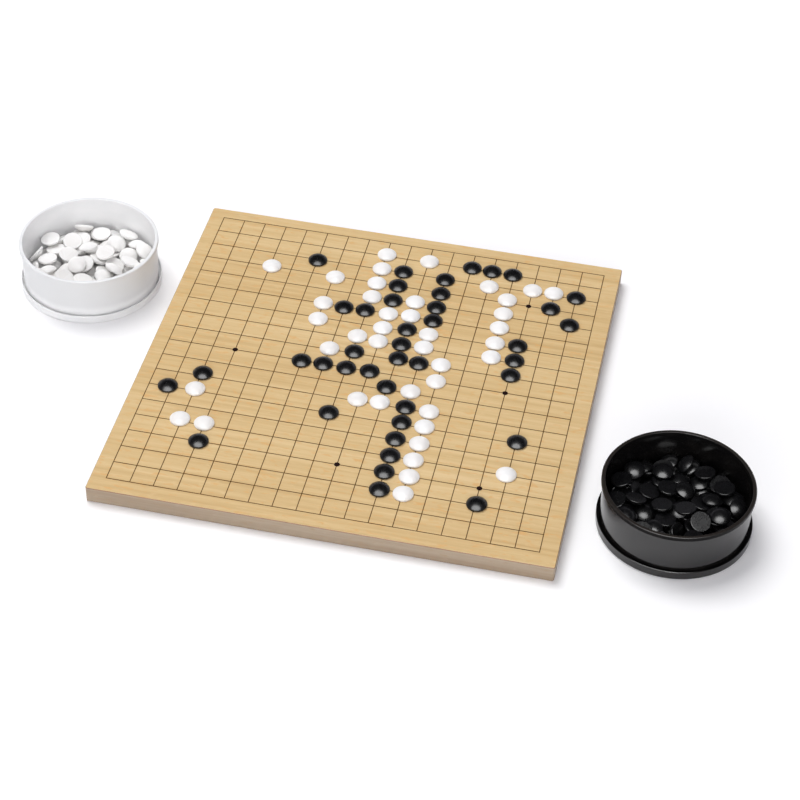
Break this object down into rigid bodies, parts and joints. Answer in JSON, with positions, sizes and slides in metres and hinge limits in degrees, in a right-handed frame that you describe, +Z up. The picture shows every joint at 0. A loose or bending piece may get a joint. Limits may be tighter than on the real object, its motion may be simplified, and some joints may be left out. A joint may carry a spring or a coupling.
{
  "type": "go set",
  "caption": "Go set: wooden board printed with a square grid, flat-bottomed domed stones placed as in a game, and two round bowls of loose stones, each standing in its upturned lid.",
  "frame": {"origin": "middle of the board's underside, on the table that the whole set stands on", "axes": "+X to the player's right along the rows, +Y away from the player along the columns, +Z up"},
  "size_m": [0.823, 0.465, 0.055],
  "materials": {
    "face_wood": "light straight-grained veneer under satin lacquer",
    "edge_wood": "light wood edge band under satin lacquer",
    "core_board": "pressed wood core, hidden",
    "grid_ink": "thin dark brown printed ink",
    "white_stone": "off-white, softly polished",
    "black_stone": "black, softly polished",
    "white_plastic": "frosted white moulded plastic",
    "black_plastic": "glossy black moulded plastic, brownish where thin"
  },
  "bodies": {
    "board": {"board_core": "core_board", "bottom_veneer": "face_wood", "top_veneer": "face_wood", "front_edge_band": "edge_wood", "back_edge_band": "edge_wood", "left_edge_band": "edge_wood", "right_edge_band": "edge_wood", "column_lines": "grid_ink", "row_lines": "grid_ink", "star_points": "grid_ink"},
    "black_group_n18": {"black_chain_j11": "black_stone", "black_chain_l13": "black_stone", "black_chain_l9": "black_stone", "black_chain_m17": "black_stone", "black_chain_m8": "black_stone", "black_chain_n18": "black_stone"},
    "black_group_f17": {"black_chain_f17": "black_stone"},
    "black_group_k17": {"black_chain_h14": "black_stone", "black_chain_k17": "black_stone"},
    "black_group_s17": {"black_chain_r16": "black_stone", "black_chain_s15": "black_stone", "black_chain_s17": "black_stone"},
    "black_group_q13": {"black_chain_q13": "black_stone"},
    "black_group_c8": {"black_chain_b7": "black_stone", "black_chain_c8": "black_stone"},
    "black_group_j7": {"black_chain_j7": "black_stone"},
    "black_group_r7": {"black_chain_r7": "black_stone"},
    "black_group_d4": {"black_chain_d4": "black_stone"},
    "black_group_q3": {"black_chain_q3": "black_stone"},
    "white_group_j18": {"white_chain_h11": "white_stone", "white_chain_j18": "white_stone", "white_chain_k8": "white_stone", "white_chain_l15": "white_stone", "white_chain_m13": "white_stone", "white_chain_m9": "white_stone", "white_chain_n11": "white_stone", "white_chain_n8": "white_stone"},
    "white_group_l18": {"white_chain_l18": "white_stone"},
    "white_group_o17": {"white_chain_o17": "white_stone", "white_chain_p16": "white_stone", "white_chain_q17": "white_stone"},
    "white_group_d16": {"white_chain_d16": "white_stone"},
    "white_group_g16": {"white_chain_g16": "white_stone"},
    "white_group_g14": {"white_chain_g14": "white_stone"},
    "white_group_c7": {"white_chain_c7": "white_stone"},
    "white_group_c5": {"white_chain_c5": "white_stone"},
    "white_group_r5": {"white_chain_r5": "white_stone"},
    "white_lid": {"white_lid": "white_plastic"},
    "white_bowl": {"white_bowl": "white_plastic"},
    "white_loose_stones": {"white_loose_stones_lower": "white_stone", "white_loose_stones_middle": "white_stone", "white_loose_stones_upper": "white_stone"},
    "black_lid": {"black_lid": "black_plastic"},
    "black_bowl": {"black_bowl": "black_plastic"},
    "black_loose_stones": {"black_loose_stones_lower": "black_stone", "black_loose_stones_middle": "black_stone", "black_loose_stones_upper": "black_stone"}
  },
  "joints": [
    {"name": "lift_black_group_n18", "type": "slide", "parent": "board", "child": "black_group_n18", "axis": [0, 0, 1], "range_m": [0, 0.03]},
    {"name": "lift_black_group_f17", "type": "slide", "parent": "board", "child": "black_group_f17", "axis": [0, 0, 1], "range_m": [0, 0.03]},
    {"name": "lift_black_group_k17", "type": "slide", "parent": "board", "child": "black_group_k17", "axis": [0, 0, 1], "range_m": [0, 0.03]},
    {"name": "lift_black_group_s17", "type": "slide", "parent": "board", "child": "black_group_s17", "axis": [0, 0, 1], "range_m": [0, 0.03]},
    {"name": "lift_black_group_q13", "type": "slide", "parent": "board", "child": "black_group_q13", "axis": [0, 0, 1], "range_m": [0, 0.03]},
    {"name": "lift_black_group_c8", "type": "slide", "parent": "board", "child": "black_group_c8", "axis": [0, 0, 1], "range_m": [0, 0.03]},
    {"name": "lift_black_group_j7", "type": "slide", "parent": "board", "child": "black_group_j7", "axis": [0, 0, 1], "range_m": [0, 0.03]},
    {"name": "lift_black_group_r7", "type": "slide", "parent": "board", "child": "black_group_r7", "axis": [0, 0, 1], "range_m": [0, 0.03]},
    {"name": "lift_black_group_d4", "type": "slide", "parent": "board", "child": "black_group_d4", "axis": [0, 0, 1], "range_m": [0, 0.03]},
    {"name": "lift_black_group_q3", "type": "slide", "parent": "board", "child": "black_group_q3", "axis": [0, 0, 1], "range_m": [0, 0.03]},
    {"name": "lift_white_group_j18", "type": "slide", "parent": "board", "child": "white_group_j18", "axis": [0, 0, 1], "range_m": [0, 0.03]},
    {"name": "lift_white_group_l18", "type": "slide", "parent": "board", "child": "white_group_l18", "axis": [0, 0, 1], "range_m": [0, 0.03]},
    {"name": "lift_white_group_o17", "type": "slide", "parent": "board", "child": "white_group_o17", "axis": [0, 0, 1], "range_m": [0, 0.03]},
    {"name": "lift_white_group_d16", "type": "slide", "parent": "board", "child": "white_group_d16", "axis": [0, 0, 1], "range_m": [0, 0.03]},
    {"name": "lift_white_group_g16", "type": "slide", "parent": "board", "child": "white_group_g16", "axis": [0, 0, 1], "range_m": [0, 0.03]},
    {"name": "lift_white_group_g14", "type": "slide", "parent": "board", "child": "white_group_g14", "axis": [0, 0, 1], "range_m": [0, 0.03]},
    {"name": "lift_white_group_c7", "type": "slide", "parent": "board", "child": "white_group_c7", "axis": [0, 0, 1], "range_m": [0, 0.03]},
    {"name": "lift_white_group_c5", "type": "slide", "parent": "board", "child": "white_group_c5", "axis": [0, 0, 1], "range_m": [0, 0.03]},
    {"name": "lift_white_group_r5", "type": "slide", "parent": "board", "child": "white_group_r5", "axis": [0, 0, 1], "range_m": [0, 0.03]},
    {"name": "lift_white_lid", "type": "slide", "parent": "board", "child": "white_lid", "axis": [0, 0, 1], "range_m": [0, 0.03]},
    {"name": "lift_white_bowl_from_lid", "type": "slide", "parent": "white_lid", "child": "white_bowl", "axis": [0, 0, 1], "range_m": [0, 0.05]},
    {"name": "lift_white_stones_from_bowl", "type": "slide", "parent": "white_bowl", "child": "white_loose_stones", "axis": [0, 0, 1], "range_m": [0, 0.07]},
    {"name": "lift_black_lid", "type": "slide", "parent": "board", "child": "black_lid", "axis": [0, 0, 1], "range_m": [0, 0.03]},
    {"name": "lift_black_bowl_from_lid", "type": "slide", "parent": "black_lid", "child": "black_bowl", "axis": [0, 0, 1], "range_m": [0, 0.05]},
    {"name": "lift_black_stones_from_bowl", "type": "slide", "parent": "black_bowl", "child": "black_loose_stones", "axis": [0, 0, 1], "range_m": [0, 0.07]}
  ]
}
